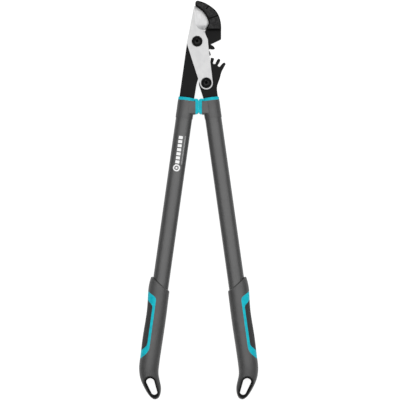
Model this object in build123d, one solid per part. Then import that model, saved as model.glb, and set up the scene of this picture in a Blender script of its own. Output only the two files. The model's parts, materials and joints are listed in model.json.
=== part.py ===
from build123d import *
from math import acos, asin, atan2, cos, degrees, hypot, pi, radians, sin, sqrt, tan

# Geared anvil pruning shears with two long handles, lying closed on their back.
# Millimetres. +Y runs from the grips to the jaw, +X to the driven handle, +Z up.
# The origin is on the main pivot's axis, in the plane that the shears rest on.

# Gear pair: the anvil arm and the driven arm carry one toothed sector each.
gear_module = 4.0
anvil_gear_teeth = 15        # teeth of the whole circle that the anvil sector is cut from
drive_gear_teeth = 25        # teeth of the whole circle that the driven sector is cut from
profile_shift = 0.38         # added to the anvil teeth, taken from the driven teeth
pressure_angle = 20.0
backlash = 0.4
tooth_tip_radius = 0.7
root_depths = {anvil_gear_teeth: 1.25, drive_gear_teeth: 2.4}   # in modules, by the gear's teeth
root_rounds = {anvil_gear_teeth: 1.3, drive_gear_teeth: 1.9}    # radii in the roots, likewise
anvil_tooth_angles = [-93.0, -69.0, -45.0, -21.0]
drive_tooth_angles = [104.6, 90.2, 75.8, 61.4, 47.0]
anvil_sector_start = -125.0  # directions where the root circles end, hidden in the arms
drive_sector_end = 112.0
sector_overlap = 2.0
tooth_trims = {75.8: 3.6, 61.4: 0.8, 47.0: 0.8}    # driven teeth that are shorter, by direction
mesh_direction = -77.5       # from the main pivot to the handle pivot
opening_angle = 45.0         # blade travel about the main pivot

# Plates and the pivot stack, from the resting plane upwards.
nut_height = 10.0
nut_width = 17.0             # across flats
nut_corner_cut = 1.2
rear_washer_height = 2.0
rear_washer_radius = 10.0
plate_thickness = 6.0
friction_washer_height = 0.5
friction_washer_radius = 12.0
blade_thickness = 4.0
head_washer_height = 0.8
head_washer_radius = 9.0
head_height = 5.4
head_radius = 10.0
head_rim_height = 1.3
socket_radius = 2.6
socket_depth = 2.4
bolt_radius = 5.0
bush_radius = 7.0
axial_play = 0.05
radial_play = 0.05

# Hubs and the blade.
anvil_hub_radius = 17.2
drive_hub_radius = 14.0
anvil_bar_top = 104.0        # above the collar, along the anvil arm's outer edge
anvil_hub_joint = 157.0      # direction where that edge's end meets the hub
anvil_bar_inner = [(-22.0, 33.0), (-15.5, 8.1)]  # from the handle pivot
anvil_bar_knee = (27.4, 0.6)    # above the collar, and how far out from the bar's edge
root_notch = (2.0, 3.0)      # short of the tooth's tip, and degrees past it
drive_web = [(0.905, 42.4), (0.722, 37.0), (0.5405, 19.9), (0.4405, 0.0)]  # share of pitch radius, angle
web_start_step = 1.2         # degrees past the last tooth
web_end = 12.0               # above the collar
blade_heel_radius = 12.2
blade_edge_land = 0.6        # thickness left at the cutting edge
blade_left_corner = (-19.4, -3.6)
blade_left_corner_radius = 13.0
blade_tip = (-5.5, 67.0)
blade_edge = [(-3.7, 66.8), (7.3, 59.5), (17.3, 47.4), (21.1, 37.0), (19.4, 28.5), (16.3, 22.3)]
bevel_start = [(-3.7, 66.8), (-4.4, 56.5), (-4.0, 44.0), (-3.0, 33.0), (1.5, 25.5), (16.3, 22.3)]
blade_throat = [(16.3, 22.3), (14.9, 16.5), (18.6, 7.0), (20.4, 0.0)]
blade_right_shoulder = (21.2, -8.7)
relief_height = 17.7
relief_width = 1.1
relief_length = 3.0

# Jaw of the anvil arm and the anvil that is screwed to its front.
edge_gap = 0.3               # between the cutting edge and the anvil when closed
anvil_edge_steps = 7
anvil_edge_start = 0.1       # share of the cutting edge that passes the rounded nose
anvil_foot = 21.5            # height of the anvil's lower end above the main pivot
jaw_nose_turn = (-2.4, 67.6)
jaw_nose_low = (-3.5, 69.6)
jaw_nose = (-3.3, 72.4)
jaw_nose_middle = (-1.7, 75.1)
jaw_outer = [(2.2, 75.9), (12.9, 72.6), (26.1, 65.1), (36.5, 55.5), (42.8, 42.3), (45.2, anvil_foot)]
jaw_underside_slope = 25.2
jaw_corner_radius = 2.0
jaw_overlap = (5.0, 3.0)     # how far the jaw below the anvil's foot runs up behind the anvil
throat_step = (3.0, 4.0)     # from the anvil's lower end in towards the hub
anvil_foot_step = 0.4
stop_clearance = 1.0         # between the last driven tooth and the jaw at full opening
anvil_thickness = 9.0
anvil_bevel_height = 1.8
anvil_bevel_width = 2.2
groove_depth = 1.2
groove_width = 2.2
anvil_grooves = [((41.5, 48.7), (22.0, 42.1)), ((24.5, 69.3), (16.6, 59.9))]
screw_places = [(12.2, 66.8), (31.0, 52.5), (35.0, 30.0)]
screw_radius = 2.5
screw_head_radius = 4.6
screw_head_height = 2.4
screw_reach = 5.0            # into the anvil
slot_width = 1.2
slot_depth = 1.0

# Closed handles: mirror images about one plane, each straight along its own axis.
middle_plane = 2.93
handle_tilt = 8.02
shoulder_drop = 27.44        # from the handle pivot down to the top of the collars
shoulder_gap = 6.69          # from the middle plane to each tube's edge there
arm_outer_step = 1.3         # the arms are this much inside the tube's edges at the collar
arm_inner_step = 1.7
drive_arm_step = 0.6         # the driven arm's inner edge is this much further in
tang_step = 6.5
tang_start = 10.0
tang_end = 84.0
tang_corner_length = 6.0
tang_corner_width = 4.0
tube_width = 31.0
tube_depth = 22.0
tube_wall = 2.0
tube_start = 14.0
insert_start = 16.0
insert_end = 78.0
rim_length = 5.5
collar_end = 39.0
collar_wall = 0.7
collar_lip = 0.1             # the rim is this much inside the collar
bumper_gap = 0.06            # between the two bumpers when closed
bumper_width = 6.5
bumper_top = 2.2             # below the collar's top
bumper_height = 28.4
bumper_depth = 18.0
bumper_nose_radius = 4.5
bridge_height = 4.0          # of the strip from the bumper to the rim
bridge_overlap = 0.5         # into the bumper
bridge_reach = 4.0           # in from the tube's edge
bulge_depth = 21.0
bulge_start = 1.0            # below the bumper's top
bulge_end = 31.5             # below the collar's top
bulge_overlap = 0.3          # into the bumper's room
bulge_radius = 3.5

# Grips: every distance along is from the grip's upper end, downwards. Each station is
# distance along, offset outwards, turn towards the other handle, width as a share of the
# tube's, and depth as a share of the grip's.
grip_start = 334.0           # from the top of the collars
grip_stations = [
    (0.0, 0.4, 0.0, 1.226, 0.96),
    (18.0, 1.2, 0.0, 1.284, 1.00),
    (37.0, 1.6, 0.0, 1.290, 1.00),
    (66.0, 0.2, 0.0, 1.226, 1.00),
    (122.0, 0.4, 0.0, 1.239, 1.00),
    (164.0, 0.3, 0.0, 1.206, 1.00),
    (180.0, -0.1, 6.0, 1.200, 0.97),
    (196.0, -3.2, 18.0, 1.135, 0.86),
    (210.4, -10.1, 28.0, 1.026, 0.72),
    (223.6, -17.2, 31.0, 0.839, 0.64),
    (231.8, -20.9, 31.0, 0.555, 0.57),
    (236.0, -23.1, 31.0, 0.232, 0.24),
]
tube_in_grip = 166.0
bore_overrun = 30.0          # the tube's bore is cut from above the grip's upper end
grip_rise = 0.07             # keeps the grips' fullest part just above the resting plane
grip_lip_start = 20.5        # where the slanted lip crosses the tube's axis
grip_lip_slant = 33.0
grip_lip_radius = 2.4
hang_hole_upper = (206.6, -6.5, 8.0)    # distance along, offset outwards, radius
hang_hole_lower = (224.6, -16.3, 6.1)
hang_flare_start = 7.2       # above and below the loop's middle
hang_flare_angle = 42.0
hang_flare_height = 8.0
inlay_depth = 1.8
accent_outline = [(32.5, 30.0), (46.5, 4.1), (147.5, 3.8), (172.0, 24.0), (172.0, 40.0), (32.5, 40.0)]
accent_radii = (9.0, 24.0)   # at the upper and lower corner
pad_outline = [(45.0, 30.0), (62.5, 8.9), (137.5, 8.8), (155.0, 24.0), (155.0, 40.0), (45.0, 40.0)]
pad_radii = (7.0, 14.0)

# Worked out from the sizes above.
pivot_spacing = gear_module * (anvil_gear_teeth + drive_gear_teeth) / 2
gear_ratio = anvil_gear_teeth / drive_gear_teeth
main_pivot = (0.0, 0.0)
mesh_turn = radians(mesh_direction)
handle_pivot = (pivot_spacing * cos(mesh_turn), pivot_spacing * sin(mesh_turn))
anvil_plate_low = nut_height + rear_washer_height
drive_plate_low = anvil_plate_low + axial_play
anvil_plate_top = anvil_plate_low + plate_thickness
blade_low = anvil_plate_top + friction_washer_height + 2 * axial_play
blade_top = blade_low + blade_thickness
head_washer_low = blade_top + axial_play
axis_height = anvil_plate_low + plate_thickness / 2
grip_half_depth = axis_height - grip_rise
shoulder_height = handle_pivot[1] - shoulder_drop
shoulder_offset = tube_width / 2 + shoulder_gap
arm_outer = tube_width / 2 - arm_outer_step
arm_inner = tube_width / 2 - arm_inner_step
tang_half_width = tube_width / 2 - tang_step
tube_end = grip_start + tube_in_grip
collar_radius_x = tube_width / 2 + collar_wall
collar_radius_z = tube_depth / 2 + collar_wall
upright = Axis.Z
standing = (Align.CENTER, Align.CENTER, Align.MIN)
beyond = 200.0               # side of the blocks that cut a whole piece away
same_place = 0.01


def polar(radius, angle, centre=main_pivot):
    return (centre[0] + radius * cos(radians(angle)), centre[1] + radius * sin(radians(angle)))


def turned(point, angle, centre=main_pivot):
    x, y = point[0] - centre[0], point[1] - centre[1]
    return polar(hypot(x, y), degrees(atan2(y, x)) + angle, centre)


def tangent_point(point, centre, radius, side):
    # Where the line from point touches the circle, on its left (1) or right (-1).
    x, y = centre[0] - point[0], centre[1] - point[1]
    reach = sqrt(x * x + y * y - radius * radius)
    return polar(reach, degrees(atan2(y, x)) + side * degrees(asin(radius / hypot(x, y))), point)


def handle_point(along, outward, side):
    # A place on the right (1) or left (-1) handle, from the top of its collar.
    t = radians(handle_tilt)
    x = shoulder_offset + along * sin(t) + outward * cos(t)
    return (middle_plane + side * x, shoulder_height - along * cos(t) + outward * sin(t))


def outline(points):
    return make_face(Polyline(*points, close=True))


def plate(face, low, thickness):
    return Pos(0, 0, low) * extrude(face, thickness)


def disc(centre, radius, low, height):
    return Pos(centre[0], centre[1], low) * Cylinder(radius, height, align=standing)


def ring(centre, outer, inner, low, height):
    return disc(centre, outer, low, height) - disc(centre, inner, low, height)


# Gears

def gear_radii(teeth, shift):
    pitch = gear_module * teeth / 2
    root = pitch + gear_module * (shift - root_depths[teeth])
    tip = pitch + gear_module * (shift + 1)
    return pitch, pitch * cos(radians(pressure_angle)), root, tip


def tooth(teeth, shift, angle, centre, tip):
    pitch, base, root = gear_radii(teeth, shift)[:3]
    pressure = radians(pressure_angle)
    thickness = gear_module * (pi / 2 + 2 * shift * tan(pressure)) - backlash / 2

    def half_angle(radius):
        flank = acos(min(1.0, base / radius))
        return degrees(thickness / 2 / pitch + tan(pressure) - pressure - tan(flank) + flank)

    def flank(side):
        radii = [base, (base + tip) / 2, tip]
        return [polar(r, angle + side * half_angle(r), centre) for r in radii]

    left, right = flank(1), flank(-1)
    left_foot = polar(root - 1, angle + half_angle(base), centre)
    right_foot = polar(root - 1, angle - half_angle(base), centre)
    return make_face([
        Line(left_foot, left[0]),
        ThreePointArc(*left),
        ThreePointArc(left[2], polar(tip, angle, centre), right[2]),
        ThreePointArc(right[2], right[1], right[0]),
        Line(right[0], right_foot),
        Line(right_foot, left_foot),
    ])


def gear_sector(teeth, shift, tooth_angles, centre, first, last):
    # Toothed part of a gear between two directions, with rounded tips and roots.
    root, full_tip = gear_radii(teeth, shift)[2:]
    tips = {angle: full_tip - tooth_trims.get(angle, 0.0) for angle in tooth_angles}
    start, end = polar(root, first, centre), polar(root, last, centre)
    wedge = make_face([
        Line(centre, start),
        ThreePointArc(start, polar(root, (first + last) / 2, centre), end),
        Line(end, centre),
    ])
    face = wedge
    for angle in tooth_angles:
        face = face + tooth(teeth, shift, angle, centre, tips[angle])

    def apart(vertex, place):
        return hypot(vertex.X - place[0], vertex.Y - place[1])

    def at_radius(radius):
        found = [v for v in face.vertices() if abs(apart(v, centre) - radius) < same_place]
        return [v for v in found if min(apart(v, start), apart(v, end)) > same_place]

    face = fillet([v for tip in set(tips.values()) for v in at_radius(tip)], tooth_tip_radius)
    return fillet(at_radius(root), root_rounds[teeth])


# Anvil side of the head

def anvil_edge():
    # Points that follow the closed blade's cutting edge at the gap, from tip to throat.
    edge = Spline(*blade_edge)
    points = []
    for i in range(anvil_edge_steps + 1):
        along = anvil_edge_start + (1 - anvil_edge_start) * i / anvil_edge_steps
        place = edge.position_at(along)
        direction = edge.tangent_at(along)
        points.append((place.X - edge_gap * direction.Y, place.Y + edge_gap * direction.X))
    return points


def inset(points, distance):
    # A clockwise outline's points, each moved inwards by a distance from both its sides.
    moved = []
    for i, here in enumerate(points):
        before, after = points[i - 1], points[(i + 1) % len(points)]
        first = atan2(here[1] - before[1], here[0] - before[0])
        second = atan2(after[1] - here[1], after[0] - here[0])
        bend = atan2(sin(second - first), cos(second - first)) / 2
        reach = distance / cos(bend)
        middle = first + bend - pi / 2
        moved.append((here[0] + reach * cos(middle), here[1] + reach * sin(middle)))
    return moved


def anvil_outline(distance):
    edge = anvil_edge()[::-1]
    foot = (edge[0][0] - anvil_foot_step, anvil_foot)
    points = [jaw_nose_low, jaw_nose, jaw_nose_middle] + jaw_outer + [foot] + edge + [jaw_nose_turn]
    points = inset(points, distance)
    count = len(jaw_outer)
    outer = points[3:3 + count]
    foot = points[3 + count]
    edge = points[4 + count:-1]
    return make_face([
        Line(points[0], points[1]),
        ThreePointArc(points[1], points[2], outer[0]),
        Spline(*outer),
        Line(outer[-1], foot),
        Line(foot, edge[0]),
        Spline(*edge),
        ThreePointArc(edge[-1], points[-1], points[0]),
    ])


def jaw_underside():
    # The jaw's lower edge stays just clear of the last driven tooth at full opening.
    tip = gear_radii(drive_gear_teeth, -profile_shift)[3] - tooth_trims[drive_tooth_angles[-1]]
    opened_pivot = turned(handle_pivot, opening_angle)
    tooth_angle = drive_tooth_angles[-1] + opening_angle * (1 + gear_ratio)
    stop = polar(tip, tooth_angle, opened_pivot)
    slope = radians(jaw_underside_slope)
    start = (stop[0] - stop_clearance * sin(slope), stop[1] + stop_clearance * cos(slope))
    rise = tan(slope)
    right = jaw_outer[-1][0]
    inner = gear_radii(anvil_gear_teeth, profile_shift)[2]
    level = start[1] - rise * start[0]
    x = (-rise * level + sqrt((inner * inner) * (1 + rise * rise) - level * level)) / (1 + rise * rise)
    return (x, level + rise * x), (right, level + rise * right)


def jaw_face():
    # The arm's jaw: the anvil's own outline, continued below its foot to the hub.
    inner, outer = jaw_underside()
    edge = anvil_edge()
    throat = (edge[-1][0] - throat_step[0], edge[-1][1] - throat_step[1])
    top = (0.0, anvil_hub_radius)
    behind = (edge[-1][0] + jaw_overlap[0], anvil_foot + jaw_overlap[1])
    lower = outline([jaw_outer[-1], outer, inner, main_pivot, top, throat, edge[-1], behind])
    corner = lower.vertices().sort_by_distance(Vertex(outer[0], outer[1], 0))[0]
    return fillet([corner], jaw_corner_radius) + anvil_outline(0.0)


def screw_hole(place):
    return disc(place, screw_radius, anvil_plate_low, plate_thickness + screw_reach) + screw_cone(place)


def screw_cone(place):
    cone = Cone(screw_head_radius, screw_radius, screw_head_height, align=standing)
    return Pos(place[0], place[1], anvil_plate_low) * cone


def anvil_arm():
    root, tip = gear_radii(anvil_gear_teeth, profile_shift)[2:]
    bar = outline([
        handle_point(tube_start, arm_outer, -1),
        handle_point(-anvil_bar_top, arm_outer, -1),
        polar(anvil_hub_radius, anvil_hub_joint),
        main_pivot,
        polar(root, anvil_tooth_angles[0]),
        polar(tip - root_notch[0], anvil_tooth_angles[0] - root_notch[1]),
        *[(handle_pivot[0] + x, handle_pivot[1] + y) for x, y in anvil_bar_inner],
        handle_point(-anvil_bar_knee[0], -arm_inner - anvil_bar_knee[1], -1),
        handle_point(0.0, -arm_inner, -1),
        handle_point(tube_start, -arm_inner, -1),
    ])
    x, y = jaw_underside()[0]
    sector_end = degrees(atan2(y, x))
    sector = gear_sector(
        anvil_gear_teeth, profile_shift, anvil_tooth_angles, main_pivot, anvil_sector_start, sector_end
    )
    face = bar + sector + jaw_face() + Circle(anvil_hub_radius) + tang_face(-1)
    body = plate(face, anvil_plate_low, plate_thickness)
    body = body - disc(main_pivot, bolt_radius, anvil_plate_low, plate_thickness)
    for place in screw_places:
        body = body - screw_hole(place)
    return body


def tang_face(side):
    half = tang_half_width
    corner_start, corner_half = tang_end - tang_corner_length, half - tang_corner_width
    corners = [(tang_start, half), (corner_start, half), (tang_end, corner_half)]
    corners = corners + [(along, -outward) for along, outward in reversed(corners)]
    return outline([handle_point(along, outward, side) for along, outward in corners])


def anvil():
    straight = anvil_thickness - anvil_bevel_height
    bevel_low = anvil_plate_top + straight
    sole = Pos(0, 0, bevel_low) * anvil_outline(0.0)
    crown = Pos(0, 0, bevel_low + anvil_bevel_height) * anvil_outline(anvil_bevel_width)
    body = plate(anvil_outline(0.0), anvil_plate_top, straight) + loft([sole, crown], ruled=True)
    for start, end in anvil_grooves:
        body = body - groove(start, end)
    for place in screw_places:
        body = body - screw_hole(place)
    return body


def groove(start, end):
    length = hypot(end[0] - start[0], end[1] - start[1])
    angle = degrees(atan2(end[1] - start[1], end[0] - start[0]))
    top = anvil_plate_top + anvil_thickness
    middle = ((start[0] + end[0]) / 2, (start[1] + end[1]) / 2)
    return Pos(middle[0], middle[1], top) * Rot(0, 0, angle) * Box(length, groove_width, 2 * groove_depth)


def anvil_screws():
    screws = []
    for place in screw_places:
        shank = disc(place, screw_radius, anvil_plate_low, plate_thickness + screw_reach)
        slot = Box(slot_width, 2 * screw_head_radius, 2 * slot_depth)
        screws.append(shank + screw_cone(place) - Pos(place[0], place[1], anvil_plate_low) * slot)
    return Compound(children=screws)


# Blade

def blade_face(edge):
    heel_left = tangent_point(blade_left_corner, handle_pivot, blade_heel_radius, -1)
    heel_right = tangent_point(blade_right_shoulder, handle_pivot, blade_heel_radius, 1)
    heel_direction = degrees(atan2(handle_pivot[1], handle_pivot[0]))
    return make_face([
        Line(blade_tip, edge[0]),
        Spline(*edge),
        Spline(*blade_throat),
        Line(blade_throat[-1], blade_right_shoulder),
        Line(blade_right_shoulder, heel_right),
        ThreePointArc(heel_right, polar(blade_heel_radius, heel_direction, handle_pivot), heel_left),
        Line(heel_left, blade_left_corner),
        Line(blade_left_corner, blade_tip),
    ])


def blade():
    flat = plate(blade_face(blade_edge), blade_low, blade_edge_land)
    sole = Pos(0, 0, blade_low + blade_edge_land) * blade_face(blade_edge)
    crown = Pos(0, 0, blade_top) * blade_face(bevel_start)
    body = flat + loft([sole, crown], ruled=True)
    corner = body.edges().filter_by(upright).sort_by_distance(Vertex(*blade_left_corner, blade_low))[0:2]
    body = fillet(corner, blade_left_corner_radius)
    notch = Box(2 * relief_length, relief_width, 3 * blade_thickness)
    body = body - Pos(blade_throat[1][0], relief_height, blade_low) * notch
    body = body - disc(main_pivot, bush_radius + radial_play, blade_low, blade_thickness)
    return body - disc(handle_pivot, bolt_radius, blade_low, blade_thickness)


# Driven side of the head

def drive_arm():
    radii = gear_radii(drive_gear_teeth, -profile_shift)
    pitch, tip = radii[0], radii[-1]
    last = drive_tooth_angles[-1]
    web_side = [polar(tip - tooth_tip_radius, last - web_start_step, handle_pivot)]
    web_side = web_side + [polar(share * pitch, angle, handle_pivot) for share, angle in drive_web]
    web_side = web_side + [handle_point(-web_end, arm_outer, 1)]
    web = make_face([
        Line(handle_pivot, web_side[0]),
        Spline(*web_side),
        Line(web_side[-1], handle_pivot),
    ])
    collar_corner = handle_point(0.0, drive_arm_step - arm_inner, 1)
    bar = outline([
        handle_pivot,
        handle_point(-web_end, arm_outer, 1),
        handle_point(tube_start, arm_outer, 1),
        handle_point(tube_start, drive_arm_step - arm_inner, 1),
        collar_corner,
        tangent_point(collar_corner, handle_pivot, drive_hub_radius, 1),
    ])
    sector = gear_sector(
        drive_gear_teeth, -profile_shift, drive_tooth_angles, handle_pivot,
        last - sector_overlap, drive_sector_end
    )
    hub = Pos(handle_pivot[0], handle_pivot[1]) * Circle(drive_hub_radius)
    body = plate(sector + web + bar + hub + tang_face(1), drive_plate_low, plate_thickness)
    return body - disc(handle_pivot, bush_radius + radial_play, drive_plate_low, plate_thickness)


# Pivot stacks

def pivot_bolt(centre):
    low = head_washer_low + head_washer_height
    head_low = low + head_rim_height
    dome_rise = head_height - head_rim_height
    dome_radius = (head_radius * head_radius + dome_rise * dome_rise) / (2 * dome_rise)
    ball = Pos(centre[0], centre[1], head_low + dome_rise - dome_radius) * Sphere(dome_radius)
    head = disc(centre, head_radius, low, head_rim_height)
    head = head + (disc(centre, head_radius, head_low, head_height) & ball)
    socket = Pos(centre[0], centre[1], head_low + dome_rise - socket_depth)
    head = head - socket * extrude(RegularPolygon(socket_radius, 6), 2 * socket_depth)
    return head + disc(centre, bolt_radius, 0, low)


def pivot_nut(centre):
    hexagon = RegularPolygon(nut_width / 2, 6, major_radius=False)
    body = Pos(centre[0], centre[1], 0) * extrude(hexagon, nut_height)
    corner = nut_width / sqrt(3)
    rounding = disc(centre, corner, 0, nut_height)
    rounding = chamfer(rounding.edges().filter_by(GeomType.CIRCLE), nut_corner_cut)
    return (body & rounding) - disc(centre, bolt_radius, 0, nut_height)


def rear_washer(centre):
    return ring(centre, rear_washer_radius, bolt_radius, nut_height, rear_washer_height)


def head_washer(centre):
    return ring(centre, head_washer_radius, bolt_radius, head_washer_low, head_washer_height)


def main_bush():
    return ring(main_pivot, bush_radius, bolt_radius, anvil_plate_top, head_washer_low - anvil_plate_top)


def main_washers():
    friction = ring(main_pivot, friction_washer_radius, bush_radius, anvil_plate_top, friction_washer_height)
    return Compound(children=[rear_washer(main_pivot), friction, head_washer(main_pivot)])


def handle_bush():
    return ring(handle_pivot, bush_radius, bolt_radius, anvil_plate_low, blade_low - anvil_plate_low)


def handle_washers():
    low = blade_low - friction_washer_height
    friction = ring(handle_pivot, friction_washer_radius, bush_radius, low, friction_washer_height)
    head = ring(handle_pivot, head_washer_radius, bolt_radius, blade_top, head_washer_height + axial_play)
    return Compound(children=[rear_washer(handle_pivot), friction, head])


# Handles: modelled as the right one and mirrored for the left

def on_handle(along=0.0, outward=0.0):
    # Local X points outwards and local Y up the handle from the given place.
    place = handle_point(along, outward, 1)
    return Pos(place[0], place[1], axis_height) * Rot(0, 0, handle_tilt)


def rod(radius_x, radius_z, start, end):
    # An oval bar along the handle from start to end.
    section = Plane(origin=(0, -start, 0), x_dir=(1, 0, 0), z_dir=(0, -1, 0))
    return on_handle() * extrude(section * Ellipse(radius_x, radius_z), end - start)


def arm_slot(side, start, end):
    # Room for the arm's bar or tang, between two distances along the handle.
    low = drive_plate_low if side == 1 else anvil_plate_low
    inner = arm_inner - drive_arm_step if side == 1 else arm_inner
    return bar_between(start, end, -inner, arm_outer, low)


def tang_slot(side, start, end):
    low = drive_plate_low if side == 1 else anvil_plate_low
    return bar_between(start, end, -tang_half_width, tang_half_width, low)


def bar_between(start, end, inner, outer, low):
    corners = [(start, inner), (start, outer), (end, outer), (end, inner)]
    return plate(outline([handle_point(along, n, 1) for along, n in corners]), low, plate_thickness)


def tube():
    outer = rod(tube_width / 2, tube_depth / 2, tube_start, tube_end)
    return outer - rod(tube_width / 2 - tube_wall, tube_depth / 2 - tube_wall, tube_start, tube_end)


def tang_insert(side):
    body = rod(tube_width / 2 - tube_wall, tube_depth / 2 - tube_wall, insert_start, insert_end)
    return body - tang_slot(side, insert_start, insert_end)


def bumper_block():
    low = shoulder_height - bumper_top - bumper_height
    middle = (middle_plane + (bumper_gap + bumper_width) / 2, low + bumper_height / 2, axis_height)
    block = Pos(*middle) * Box(bumper_width, bumper_height, bumper_depth)
    nose = block.edges().filter_by(upright).sort_by(Axis.X)[0:2]
    return fillet(nose, bumper_nose_radius)


def bumper(side):
    # The rim round the collar's top runs on into the bumper along the inner shoulder.
    rim = rod(collar_radius_x - collar_lip, collar_radius_z - collar_lip, 0.0, rim_length)
    left = middle_plane + bumper_width - bridge_overlap
    right = handle_point(0.0, -tube_width / 2 + bridge_reach, 1)[0]
    middle = Pos((left + right) / 2, shoulder_height - bumper_top - bridge_height / 2, axis_height)
    bridge = middle * Box(right - left, bridge_height, bumper_depth - bridge_height)
    return rim + bumper_block() + bridge - arm_slot(side, -1.0, tube_start)


def collar(side):
    sleeve = rod(collar_radius_x, collar_radius_z, rim_length, collar_end)
    left = middle_plane + bumper_gap / 2 + bumper_width - bulge_overlap
    right = handle_point((rim_length + collar_end) / 2, 0.0, 1)[0]
    top = shoulder_height - bumper_top - bulge_start
    low = shoulder_height - bulge_end
    middle = Pos((left + right) / 2, (top + low) / 2, axis_height)
    bulge = middle * Box(right - left, top - low, bulge_depth)
    bulge = fillet(bulge.edges().filter_by(Axis.X), bulge_radius)
    above = on_handle() * Pos(0, beyond / 2 - rim_length, 0) * Box(beyond, beyond, beyond)
    body = sleeve + (bulge - above)
    body = body - rod(tube_width / 2, tube_depth / 2, tube_start, collar_end + 1.0)
    body = body - arm_slot(side, 0.0, tube_start)
    return body - bumper(side)


def grip_form(growth):
    # The grip's outer form, grown by a distance all round.
    sections = []
    for along, outward, turn, width_share, depth_share in grip_stations:
        t = radians(turn)
        half_depth = grip_half_depth * depth_share + growth
        half_width = tube_width / 2 * width_share + growth
        origin = (outward, -along, 0)
        plane = Plane(origin=origin, x_dir=(cos(t), -sin(t), 0), z_dir=(-sin(t), -cos(t), 0))
        sections.append(plane * Ellipse(half_width, half_depth))
    form = loft(sections)
    lip = Pos(0, -grip_lip_start, 0) * Rot(0, 0, grip_lip_slant)
    return form - lip * Pos(0, beyond / 2, 0) * Box(beyond, beyond, beyond)


def hang_hole():
    # Straight through the loop, flared where it comes out of the front and the back.
    upper = Pos(hang_hole_upper[1], -hang_hole_upper[0]) * Circle(hang_hole_upper[2])
    lower = Pos(hang_hole_lower[1], -hang_hole_lower[0]) * Circle(hang_hole_lower[2])
    face = make_hull(upper.edges() + lower.edges())
    hole = Pos(0, 0, -beyond / 2) * extrude(face, beyond)
    flare = Pos(0, 0, hang_flare_start) * extrude(face, hang_flare_height, taper=-hang_flare_angle)
    return hole + flare + mirror(flare, about=Plane.XY)


def inlay_prism(points, radii):
    face = outline([(outward, -along) for along, outward in points])
    for (along, outward), radius in zip(points[1:3], radii):
        face = fillet(face.vertices().sort_by_distance(Vertex(outward, -along, 0))[0], radius)
    return Pos(0, 0, -beyond / 2) * extrude(face, beyond)


def grip_pieces():
    form = grip_form(0.0)
    lip = form.faces().filter_by(GeomType.PLANE).sort_by(Axis.Y)[-1]
    form = fillet(lip.edges(), grip_lip_radius)
    core = grip_form(-inlay_depth)
    pad_room = inlay_prism(pad_outline, pad_radii)
    accent_room = inlay_prism(accent_outline, accent_radii)
    skin = form - core
    pad = skin & pad_room
    accent = (skin & accent_room) - pad_room
    shell = form - (skin & accent_room)
    shell = shell - hang_hole()
    bore_end = Plane(origin=(0, bore_overrun, 0), x_dir=(1, 0, 0), z_dir=(0, -1, 0))
    bore = extrude(bore_end * Ellipse(tube_width / 2, tube_depth / 2), tube_in_grip + bore_overrun)
    return [on_handle(grip_start) * (piece - bore) for piece in (shell, accent, pad)]


def mirrored(piece):
    return mirror(piece, about=Plane(origin=(middle_plane, 0, 0), z_dir=(1, 0, 0)))


def write(name, piece):
    export_step(piece, "parts/" + name + ".step")


def write_handles():
    shell, accent, pad = grip_pieces()
    right = {
        "tube": tube(),
        "tang_insert": tang_insert(1),
        "collar": collar(1),
        "bumper": bumper(1),
        "grip_shell": shell,
        "grip_accent": accent,
        "grip_pad": pad,
    }
    left = dict(right, tang_insert=tang_insert(-1), collar=collar(-1), bumper=bumper(-1))
    for name, piece in right.items():
        write("right_" + name, piece)
    for name, piece in left.items():
        write("left_" + name, mirrored(piece))


write("anvil_arm", anvil_arm())
write("anvil", anvil())
write("anvil_screws", anvil_screws())
write("blade", blade())
write("drive_arm", drive_arm())
write("main_bolt", pivot_bolt(main_pivot))
write("main_nut", pivot_nut(main_pivot))
write("main_bush", main_bush())
write("main_washers", main_washers())
write("handle_bolt", pivot_bolt(handle_pivot))
write("handle_nut", pivot_nut(handle_pivot))
write("handle_bush", handle_bush())
write("handle_washers", handle_washers())
write_handles()
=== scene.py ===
import json
import math

import bpy
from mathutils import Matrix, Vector


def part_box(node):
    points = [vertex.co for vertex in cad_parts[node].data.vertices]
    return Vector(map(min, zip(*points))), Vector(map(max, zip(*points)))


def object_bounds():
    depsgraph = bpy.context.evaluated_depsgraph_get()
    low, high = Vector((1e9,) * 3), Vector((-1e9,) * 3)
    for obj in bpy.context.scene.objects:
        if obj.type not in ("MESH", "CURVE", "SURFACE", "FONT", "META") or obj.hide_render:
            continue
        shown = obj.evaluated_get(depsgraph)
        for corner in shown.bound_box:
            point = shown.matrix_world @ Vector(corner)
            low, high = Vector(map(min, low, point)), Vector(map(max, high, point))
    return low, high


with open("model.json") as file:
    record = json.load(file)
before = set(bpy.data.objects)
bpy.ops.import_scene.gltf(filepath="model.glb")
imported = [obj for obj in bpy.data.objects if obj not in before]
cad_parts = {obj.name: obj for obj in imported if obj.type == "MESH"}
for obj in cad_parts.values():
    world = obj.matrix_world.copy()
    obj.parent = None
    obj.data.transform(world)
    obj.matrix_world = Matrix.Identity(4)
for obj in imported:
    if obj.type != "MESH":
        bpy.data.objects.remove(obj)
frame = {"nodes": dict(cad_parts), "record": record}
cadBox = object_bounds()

nodes = frame["nodes"]
scene = bpy.context.scene
print("frame loaded:", len(nodes), "nodes")


# Shader maths

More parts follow.
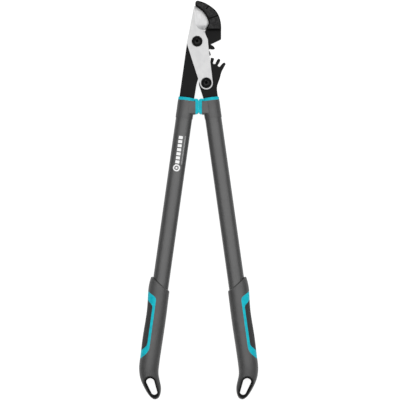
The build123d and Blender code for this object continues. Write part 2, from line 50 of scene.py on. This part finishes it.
class Reading:
    # a socket of one finish, so that sums between sockets read as plain arithmetic
    def __init__(self, finish, socket):
        self.finish = finish
        self.socket = socket

    def maths(self, operation, *values):
        return self.finish.add("ShaderNodeMath", {"operation": operation}, dict(enumerate(values)))

    def __add__(self, other):
        return self.maths("ADD", self, other)

    def __radd__(self, other):
        return self.maths("ADD", other, self)

    def __sub__(self, other):
        return self.maths("SUBTRACT", self, other)

    def __rsub__(self, other):
        return self.maths("SUBTRACT", other, self)

    def __mul__(self, other):
        return self.maths("MULTIPLY", self, other)

    def __rmul__(self, other):
        return self.maths("MULTIPLY", other, self)

    def __abs__(self):
        return self.maths("ABSOLUTE", self)

    def root(self):
        return self.maths("SQRT", self)

    def wave(self):
        return self.maths("SINE", self)

    def least(self, other):
        return self.maths("MINIMUM", self, other)

    def most(self, other):
        return self.maths("MAXIMUM", self, other)

    def ease(self, start, end, low=0.0, high=1.0):
        # low up to start, high from end on, and a soft step between them
        values = {"Value": self, "From Min": start, "From Max": end, "To Min": low, "To Max": high}
        return self.finish.add("ShaderNodeMapRange", {"interpolation_type": "SMOOTHSTEP"}, values)


class Finish:
    # one material, read in the object's own coordinates, in metres
    def __init__(self, name, **constants):
        self.material = bpy.data.materials.new(name)
        self.material.use_nodes = True
        self.tree = self.material.node_tree
        self.surface = self.tree.nodes["Principled BSDF"]
        self.position = self.add("ShaderNodeTexCoord", output="Object")
        for socket, value in constants.items():
            self.surface.inputs[socket.replace("_", " ")].default_value = value

    def add(self, kind, settings=None, values=None, output=0):
        node = self.tree.nodes.new(kind)
        for name, value in (settings or {}).items():
            setattr(node, name, value)
        for name, value in (values or {}).items():
            if isinstance(value, Reading):
                self.tree.links.new(value.socket, node.inputs[name])
            else:
                node.inputs[name].default_value = value
        return Reading(self, node.outputs[output])

    def feed(self, **links):
        for socket, reading in links.items():
            self.tree.links.new(reading.socket, self.surface.inputs[socket.replace("_", " ")])

    def mix(self, factor, first, second):
        first, second = [c if isinstance(c, Reading) else (*c, 1.0) for c in (first, second)]
        return self.add("ShaderNodeMix", {"data_type": "RGBA"}, {0: factor, 6: first, 7: second}, 2)

    def noise(self, size, detail=2.0, stretch=None):
        # a soft random field with features of that size
        place = self.position
        if stretch:
            place = self.add("ShaderNodeMapping", {}, {"Vector": place, "Scale": stretch})
        values = {"Vector": place, "Scale": 1.0 / size, "Detail": detail, "Roughness": 0.55}
        return self.add("ShaderNodeTexNoise", {}, values)

    def cells(self, size):
        return self.add("ShaderNodeTexVoronoi", {}, {"Vector": self.position, "Scale": 1.0 / size})

    def parts(self):
        return [self.add("ShaderNodeSeparateXYZ", {}, {0: self.position}, axis) for axis in "XYZ"]

    def upness(self):
        # 1 on faces that look straight up or down, 0 on upright ones
        normal = self.add("ShaderNodeNewGeometry", output="True Normal")
        return abs(self.add("ShaderNodeSeparateXYZ", {}, {0: normal}, "Z"))

    def alongHandle(self):
        # distance down the handle from the collar's top, and outwards from its axis, on both sides
        x, y, z = self.parts()
        aside = abs(x - handle["middle"]) - handle["spread"]
        below = y - handle["top"]
        lean = handle["lean"]
        along = aside * math.sin(lean) - below * math.cos(lean)
        return along, aside * math.cos(lean) + below * math.sin(lean)

    def bump(self, height, distance, strength=1.0):
        values = {"Height": height, "Distance": distance, "Strength": strength}
        self.feed(Normal=self.add("ShaderNodeBump", {}, values))

    def dull(self, mask, colour):
        # a dark matt surface in place of the first one, as far as the mask goes; it paints shade in the
        # anvil's grooves and slopes and in the bolt sockets, and a darker ring round the hang holes
        values = {"Base Color": (*colour, 1.0), "Roughness": 0.85, "Specular IOR Level": 0.06}
        matt = self.add("ShaderNodeBsdfPrincipled", {}, values)
        first = Reading(self, self.surface.outputs[0])
        both = self.add("ShaderNodeMixShader", {}, {0: mask, 1: first, 2: matt})
        self.tree.links.new(both.socket, self.tree.nodes["Material Output"].inputs["Surface"])


# Where the handles run: the tube's box gives its middle, and the lean is the closed angle
handle = {"lean": math.radians(8.02), "tubeMiddle": 0.257}
tubeLow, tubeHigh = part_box("right_tube")
handle["middle"] = (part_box("left_tube")[0].x + tubeHigh.x) / 2
tubeCentre = (tubeLow + tubeHigh) / 2
handle["spread"] = tubeCentre.x - handle["middle"] - handle["tubeMiddle"] * math.sin(handle["lean"])
handle["top"] = tubeCentre.y + handle["tubeMiddle"] * math.cos(handle["lean"])


# Steel head

steel = {
    "colour": (0.0040, 0.0040, 0.0042),
    "faded": (0.0105, 0.0105, 0.0107),
    "sheared": (0.022, 0.022, 0.0225),
    "grain": 0.0007,
    "patch": 0.018,
    "shear": 0.0011,
}


def coatedSteel():
    finish = Finish("blackCoatedSteel", Specular_IOR_Level=0.09)
    patch = finish.noise(steel["patch"], 4.0)
    grain = finish.noise(steel["grain"], 3.0)
    shear = finish.noise(steel["shear"], 2.0, (1.0, 1.0, 0.12))
    side = finish.upness().ease(0.3, 0.8, 1.0, 0.0)
    cover = finish.mix((patch * 0.7 + grain * 0.5).ease(0.4, 0.85), steel["colour"], steel["faded"])
    finish.feed(
        Base_Color=finish.mix(side * shear.ease(0.35, 0.7), cover, steel["sheared"]),
        Roughness=patch.ease(0.3, 0.7, 0.42, 0.58) + grain * 0.08,
    )
    finish.bump(grain + side * shear * 2.0, 0.00005, 0.6)
    return finish.material


anvilLow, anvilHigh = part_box("anvil")
castAnvil = {
    "colour": (0.0095, 0.0095, 0.0098),
    "worn": (0.032, 0.032, 0.0325),
    "paintedShade": (0.003, 0.003, 0.003),
    "mottle": 0.0032,
    "grain": 0.0008,
    "grooveDepth": 0.0012,
}


def castMetal():
    finish = Finish("castAnvil", Specular_IOR_Level=0.12)
    mottle = finish.noise(castAnvil["mottle"], 4.0)
    grain = finish.noise(castAnvil["grain"], 3.0)
    height = finish.parts()[2]
    deep = height.ease(anvilHigh.z - castAnvil["grooveDepth"] * 0.9, anvilHigh.z - 0.0001, 1.0, 0.0)
    steep = finish.upness().ease(0.9, 0.99, 0.8, 0.0)
    ground = finish.mix(mottle.ease(0.38, 0.66), castAnvil["colour"], castAnvil["worn"])
    finish.feed(
        Base_Color=ground,
        Roughness=mottle.ease(0.3, 0.7, 0.5, 0.68) - grain * 0.1,
    )
    # painted shade: groove floors and sloped rim faces are painted near black
    finish.dull(deep.most(steep), castAnvil["paintedShade"])
    finish.bump(grain * 0.6 + mottle, 0.00022, 0.7)
    return finish.material


bladeLow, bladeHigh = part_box("blade")
cutter = {
    "colour": (0.55, 0.55, 0.55),
    "clouded": (0.505, 0.505, 0.51),
    "ground": (0.60, 0.60, 0.605),
    "shadow": (0.26, 0.26, 0.265),
    "runOut": (0.0205, 0.033),    # where the bevel ends above the pivot, with painted shade across its run-out
    "land": 0.0006,
    "scratch": 0.0005,
    "streak": 0.0016,
    "cloud": 0.014,
}


def satinBlade():
    finish = Finish("satinBlade", Metallic=0.25, Specular_IOR_Level=0.35)
    cloud = finish.noise(cutter["cloud"], 3.0)
    brushed = finish.noise(cutter["scratch"], 2.0, (1.0, 0.035, 1.0))
    hone = finish.noise(cutter["scratch"], 2.0, (0.05, 1.0, 1.0))
    y, z = finish.parts()[1:]
    sloped = finish.upness().ease(0.985, 0.9985, 1.0, 0.0)
    bevel = sloped * z.ease(bladeLow.z + cutter["land"] - 0.0001, bladeLow.z + cutter["land"] + 0.0002)
    low, high = cutter["runOut"]
    runOutShade = y.ease(low, low + 0.003) * y.ease(high - 0.005, high, 1.0, 0.0) * bevel
    streak = finish.noise(cutter["streak"], 2.0, (1.0, 0.12, 1.0))
    flat = finish.mix(cloud.ease(0.35, 0.7), cutter["colour"], cutter["clouded"])
    cover = finish.mix(bevel * streak.ease(0.3, 0.7), flat, cutter["ground"])
    finish.feed(
        # painted shade: the bevel's run-out above the pivot is painted darker, broken by the streaks
        Base_Color=finish.mix(runOutShade * streak.ease(0.3, 0.65, 0.55, 1.0), cover, cutter["shadow"]),
        Roughness=brushed.ease(0.3, 0.7, 0.40, 0.50) - bevel * 0.08,
    )
    finish.bump(brushed + bevel * hone, 0.00002, 0.5)
    return finish.material


bolt = {
    "colour": (0.0030, 0.0030, 0.0032),
    "rubbed": (0.0080, 0.0080, 0.0082),
    "socketShade": (0.0015, 0.0015, 0.0015),
    "speck": 0.0006,
    "smear": 0.005,
    "socket": 0.0026,    # radius of the socket in the head, painted near black inside as shade
}


def glossBlack():
    finish = Finish("glossBlackBolt", Specular_IOR_Level=0.1, Coat_Roughness=0.08)
    speck = finish.noise(bolt["speck"], 3.0)
    smear = finish.noise(bolt["smear"], 3.0)
    finish.feed(
        Base_Color=finish.mix(smear.ease(0.45, 0.8), bolt["colour"], bolt["rubbed"]),
        Roughness=smear.ease(0.3, 0.7, 0.2, 0.3),
        Coat_Weight=smear.ease(0.3, 0.7, 0.14, 0.07),
    )
    finish.bump(speck, 0.00003, 0.4)
    x, y, z = finish.parts()
    socketShade = None
    for name in ("main_bolt", "handle_bolt"):
        middle = (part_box(name)[0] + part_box(name)[1]) / 2
        aside, ahead = x - middle.x, y - middle.y
        far = (aside * aside + ahead * ahead).root()
        inside = far.ease(bolt["socket"], bolt["socket"] + 0.0002, 1.0, 0.0)
        socketShade = inside if socketShade is None else socketShade.most(inside)
    # painted shade: inside each socket the head is painted near black
    finish.dull(socketShade, bolt["socketShade"])
    return finish.material


zinc = {"colour": (0.42, 0.42, 0.43), "dull": (0.30, 0.30, 0.29), "spangle": 0.0035, "turning": 0.0006}


def platedSteel():
    finish = Finish("zincPlatedSteel", Metallic=0.9)
    spangle = finish.cells(zinc["spangle"])
    turned = finish.noise(zinc["turning"], 2.0, (1.0, 1.0, 0.2))
    finish.feed(
        Base_Color=finish.mix(spangle.ease(0.1, 0.6), zinc["colour"], zinc["dull"]),
        Roughness=spangle.ease(0.0, 0.7, 0.28, 0.45) + turned * 0.06,
    )
    finish.bump(turned, 0.00003, 0.4)
    return finish.material


bush = {"colour": (0.55, 0.33, 0.12), "oiled": (0.28, 0.16, 0.06), "oil": 0.004, "ring": 0.0004}


def turnedBronze():
    finish = Finish("turnedBronze", Metallic=0.95)
    oil = finish.noise(bush["oil"], 3.0)
    rings = (finish.parts()[2] * (2 * math.pi / bush["ring"])).wave()
    finish.feed(
        Base_Color=finish.mix(oil.ease(0.4, 0.7), bush["colour"], bush["oiled"]),
        Roughness=oil.ease(0.3, 0.7, 0.25, 0.42),
    )
    finish.bump(rings, 0.00001, 0.4)
    return finish.material


# Handles

tubeCoat = {
    "colour": (0.026, 0.026, 0.0264),
    "light": (0.037, 0.037, 0.0374),
    "peel": 0.0016,
    "grain": 0.0004,
    "cloud": 0.03,
    "scuff": 0.0012,
}

printed = {
    "colour": (0.80, 0.80, 0.80),
    "start": 0.0725,    # down the tube from the collar's top
    "pitch": 0.0077,
    "count": 7,
    "gap": 0.0021,
    "low": -0.0030,     # across the tube, outwards
    "high": 0.0045,
    "ring": (0.1338, 0.0008, 0.0066, 0.0041, 0.0020),    # middle down and across, three radii
    "line": (0.0725, 0.1260, -0.0086, -0.0066),          # first and last down, first and last across
    "dash": 0.0026,
    "lineStrength": 0.35,
    "blur": 0.0002,
    "front": 0.0160,    # height above which the tube is printed
}


def band(value, low, high):
    blur = printed["blur"]
    return value.ease(low - blur, low + blur) * value.ease(high - blur, high + blur, 1.0, 0.0)


def plainPrint(finish):
    # a row of plain blocks, a ring with a dot, and a thin broken line, all without lettering
    along, outward = finish.alongHandle()
    step = along - printed["start"]
    within = finish.add("ShaderNodeMath", {"operation": "PINGPONG"}, {0: step, 1: printed["pitch"] / 2})
    length, blur, gap = printed["pitch"] * printed["count"], printed["blur"], printed["gap"] / 2
    blocks = band(step, 0.0, length) * within.ease(gap - blur, gap + blur)
    blocks = blocks * band(outward, printed["low"], printed["high"])
    middle, side, outer, inner, dot = printed["ring"]
    far = ((along - middle) * (along - middle) + (outward - side) * (outward - side)).root()
    ring = band(far, inner, outer).most(band(far, -1.0, dot))
    first, last, low, high = printed["line"]
    dash = (along * (2 * math.pi / printed["dash"])).wave().ease(-0.7, -0.3)
    line = band(along, first, last) * band(outward, low, high) * dash * printed["lineStrength"]
    front = finish.parts()[2].ease(printed["front"] - 0.0005, printed["front"] + 0.0005)
    return blocks.most(ring).most(line) * front


def coatedTube(withPrint):
    finish = Finish("anthraciteTubePrinted" if withPrint else "anthraciteTube", Specular_IOR_Level=0.8)
    peel = finish.noise(tubeCoat["peel"], 2.0)
    grain = finish.noise(tubeCoat["grain"], 2.0)
    cloud = finish.noise(tubeCoat["cloud"], 3.0)
    scuff = finish.noise(tubeCoat["scuff"], 2.0, (1.0, 0.06, 1.0)).ease(0.66, 0.74)
    cover = finish.mix(cloud.ease(0.3, 0.7) * 0.5 + grain * 0.4, tubeCoat["colour"], tubeCoat["light"])
    rough = peel.ease(0.3, 0.7, 0.36, 0.46) + scuff * 0.08
    if withPrint:
        ink = plainPrint(finish)
        worn = ink * finish.noise(0.0008, 3.0).ease(0.28, 0.4, 0.85, 1.0)
        cover = finish.mix(worn, cover, printed["colour"])
        rough = rough + ink * 0.08
    finish.feed(Base_Color=cover, Roughness=rough)
    finish.bump(peel + grain * 0.4, 0.00004, 0.6)
    return finish.material


gripSkin = {
    "colour": (0.025, 0.025, 0.0254),
    "light": (0.036, 0.036, 0.0364),
    "dark": (0.004, 0.004, 0.004),
    "pebble": 0.0009,
    "fine": 0.00035,
    "cloud": 0.02,
    "loop": ((0.5406, -0.0065, 0.0080), (0.5586, -0.0163, 0.0061)),    # both ends: down, outwards, radius
    "rim": (0.0012, 0.0068),    # the dark rim fades out between these distances from the hole
}


def loopDistance(finish):
    # distance from the edge of the tapered hang hole, outwards
    along, outward = finish.alongHandle()
    (startAlong, startOut, startRadius), (endAlong, endOut, endRadius) = gripSkin["loop"]
    runAlong, runOut = endAlong - startAlong, endOut - startOut
    square = runAlong * runAlong + runOut * runOut
    share = (along - startAlong) * (runAlong / square) + (outward - startOut) * (runOut / square)
    share = share.most(0.0).least(1.0)
    missAlong = along - startAlong - share * runAlong
    missOut = outward - startOut - share * runOut
    far = (missAlong * missAlong + missOut * missOut).root()
    return far - (startRadius + share * (endRadius - startRadius))


def mouldedGrip():
    finish = Finish("mouldedGripPlastic", Specular_IOR_Level=0.8)
    pebble = finish.cells(gripSkin["pebble"])
    cloud = finish.noise(gripSkin["cloud"], 3.0)
    fine = finish.noise(gripSkin["fine"], 2.0)
    cover = finish.mix(cloud.ease(0.3, 0.7) * 0.6 + fine * 0.3, gripSkin["colour"], gripSkin["light"])
    finish.feed(Base_Color=cover, Roughness=cloud.ease(0.3, 0.7, 0.40, 0.50) + fine * 0.06)
    finish.bump(pebble + fine * 0.3, 0.00006, 0.6)
    near, far = gripSkin["rim"]
    finish.dull(loopDistance(finish).ease(near, far, 0.95, 0.0), gripSkin["dark"])
    return finish.material


pad = {
    "colour": (0.022, 0.022, 0.0225),
    "paleCrestsAndDust": (0.034, 0.034, 0.0345),
    "rib": 0.0030,
    "slant": 0.6,
    "dust": 0.012,
}


def ribbedPad():
    finish = Finish("softGripPad", Specular_IOR_Level=0.3)
    along, outward = finish.alongHandle()
    ribs = ((along + outward * pad["slant"]) * (2 * math.pi / pad["rib"])).wave()
    fine = finish.noise(0.0004, 3.0)
    dust = finish.noise(pad["dust"], 4.0)
    finish.feed(
        # the ribs are paler along their crests, and in dusty patches
        Base_Color=finish.mix(ribs.ease(-0.6, 0.6) * 0.5 + dust * 0.4, pad["colour"], pad["paleCrestsAndDust"]),
        Roughness=dust.ease(0.3, 0.7, 0.55, 0.72),
    )
    finish.bump(ribs.ease(-0.8, 0.8) * 3.0 + fine, 0.0001, 0.7)
    return finish.material


cyan = {
    "colour": (0.0020, 0.46, 0.55),
    "deep": (0.0015, 0.36, 0.45),
    "pale": (0.0050, 0.53, 0.60),
    "cloud": 0.008,
    "fine": 0.0004,
    "rubber": (0.5, 0.0011),     # roughness and pebble size
    "plastic": (0.4, 0.0009),
}


def cyanSkin(name, roughness, pebble):
    finish = Finish(name, Specular_IOR_Level=0.18)
    cloud = finish.noise(cyan["cloud"], 3.0)
    grain = finish.cells(pebble)
    fine = finish.noise(cyan["fine"], 2.0)
    low = finish.mix(cloud.ease(0.3, 0.7), cyan["deep"], cyan["colour"])
    finish.feed(
        Base_Color=finish.mix(fine.ease(0.5, 0.8) * 0.5, low, cyan["pale"]),
        Roughness=cloud.ease(0.3, 0.7, roughness, roughness + 0.1),
    )
    finish.bump(grain + fine * 0.3, 0.00005, 0.5)
    return finish.material


core = {"colour": (0.02, 0.02, 0.02), "light": (0.035, 0.035, 0.035), "flow": 0.006, "fine": 0.0005}


def insertPlastic():
    finish = Finish("insertPlastic", Specular_IOR_Level=0.4)
    flow = finish.noise(core["flow"], 3.0, (1.0, 0.3, 1.0))
    fine = finish.noise(core["fine"], 2.0)
    finish.feed(
        Base_Color=finish.mix(flow.ease(0.3, 0.7), core["colour"], core["light"]),
        Roughness=flow.ease(0.3, 0.7, 0.5, 0.62),
    )
    finish.bump(fine, 0.00005, 0.5)
    return finish.material


gripPlastic = mouldedGrip()
finishes = {
    "dark_steel": coatedSteel(),
    "anvil_metal": castMetal(),
    "zinc_steel": platedSteel(),
    "blade_steel": satinBlade(),
    "black_bolt": glossBlack(),
    "bronze": turnedBronze(),
    "grey_tube": coatedTube(False),
    "insert_plastic": insertPlastic(),
    "grey_plastic": gripPlastic,
    "cyan_rubber": cyanSkin("cyanBumperRubber", *cyan["rubber"]),
    "grip_plastic": gripPlastic,
    "cyan_plastic": cyanSkin("cyanAccentPlastic", *cyan["plastic"]),
    "soft_pad": ribbedPad(),
}
for row in frame["record"]["subparts"]:
    nodes[row["node"]].material_slots[0].material = finishes[row["material_slot"]]
nodes["left_tube"].material_slots[0].material = coatedTube(True)
print("finishes given:", len(finishes) + 1)


# Floor, light and camera

studio = {
    "floorSize": 14.0,
    "floorDrop": 0.0002,    # below the lowest point of the shears
    "cloud": 0.6,
    "floorColour": (0.40, 0.40, 0.40),
    "floorGlow": 0.80,
    "worldStrength": 0.34,
    "backdrop": 0.93,
}


def makeFloor():
    height = cadBox[0].z - studio["floorDrop"]
    bpy.ops.mesh.primitive_plane_add(size=studio["floorSize"], location=(0, -0.3, height))
    floor = bpy.context.object
    floor.name = "paleFloor"
    glow = studio["floorGlow"]
    finish = Finish("paleFloor", Roughness=0.9, Specular_IOR_Level=0.05, Emission_Strength=glow)
    shade = finish.noise(studio["cloud"], 2.0)
    dim = tuple(c * 0.97 for c in studio["floorColour"])
    finish.feed(Base_Color=finish.mix(shade.ease(0.3, 0.7), dim, studio["floorColour"]))
    finish.surface.inputs["Emission Color"].default_value = (1.0, 1.0, 1.0, 1.0)
    floor.data.materials.append(finish.material)


def makeWorld():
    # soft light all round; the camera itself sees a pale backdrop
    world = bpy.data.worlds.new("studioWorld")
    world.use_nodes = True
    scene.world = world
    tree = world.node_tree
    background = tree.nodes["Background"]
    background.inputs["Color"].default_value = (1.0, 1.0, 1.0, 1.0)
    seen = tree.nodes.new("ShaderNodeLightPath").outputs["Is Camera Ray"]
    strength = tree.nodes.new("ShaderNodeMapRange")
    strength.inputs["To Min"].default_value = studio["worldStrength"]
    strength.inputs["To Max"].default_value = studio["backdrop"]
    tree.links.new(seen, strength.inputs["Value"])
    tree.links.new(strength.outputs["Result"], background.inputs["Strength"])


lamps = [
    {
        "name": "overheadSoftbox", "place": (0.12, -0.25, 1.5), "aim": (0.0, -0.3, 0.0),
        "size": (1.7, 2.6), "radiance": 2.0,
    },
    {
        "name": "headKey", "place": (-0.25, 1.3, 1.5), "aim": (0.0, 0.0, 0.0),
        "size": (0.6, 0.5), "radiance": 2.5,
    },
]


def makeLamps():
    for lamp in lamps:
        light = bpy.data.lights.new(lamp["name"], "AREA")
        light.shape = "RECTANGLE"
        light.size, light.size_y = lamp["size"]
        # a lamp's power for a wanted brightness of its face
        light.energy = lamp["radiance"] * math.pi * light.size * light.size_y
        holder = bpy.data.objects.new(lamp["name"], light)
        scene.collection.objects.link(holder)
        holder.location = lamp["place"]
        aim = Vector(lamp["aim"]) - Vector(lamp["place"])
        holder.rotation_euler = aim.to_track_quat("-Z", "Y").to_euler()


view = {
    "lens": 100.0,
    "sensor": 36.0,
    "width": 0.755,     # metres across the picture, at that level above the floor
    "level": 0.015,
    "offset": (0.0025, 0.0009),
}


def makeCamera():
    data = bpy.data.cameras.new("frontView")
    data.lens = view["lens"]
    data.sensor_width = view["sensor"]
    camera = bpy.data.objects.new("frontView", data)
    scene.collection.objects.link(camera)
    middle = (cadBox[0] + cadBox[1]) / 2
    height = view["level"] + view["width"] * view["lens"] / view["sensor"]
    camera.location = (middle.x + view["offset"][0], middle.y + view["offset"][1], height)
    scene.camera = camera


scene.view_settings.view_transform = "Standard"
makeFloor()
makeWorld()
makeLamps()
makeCamera()
print("floor, lights and camera set")
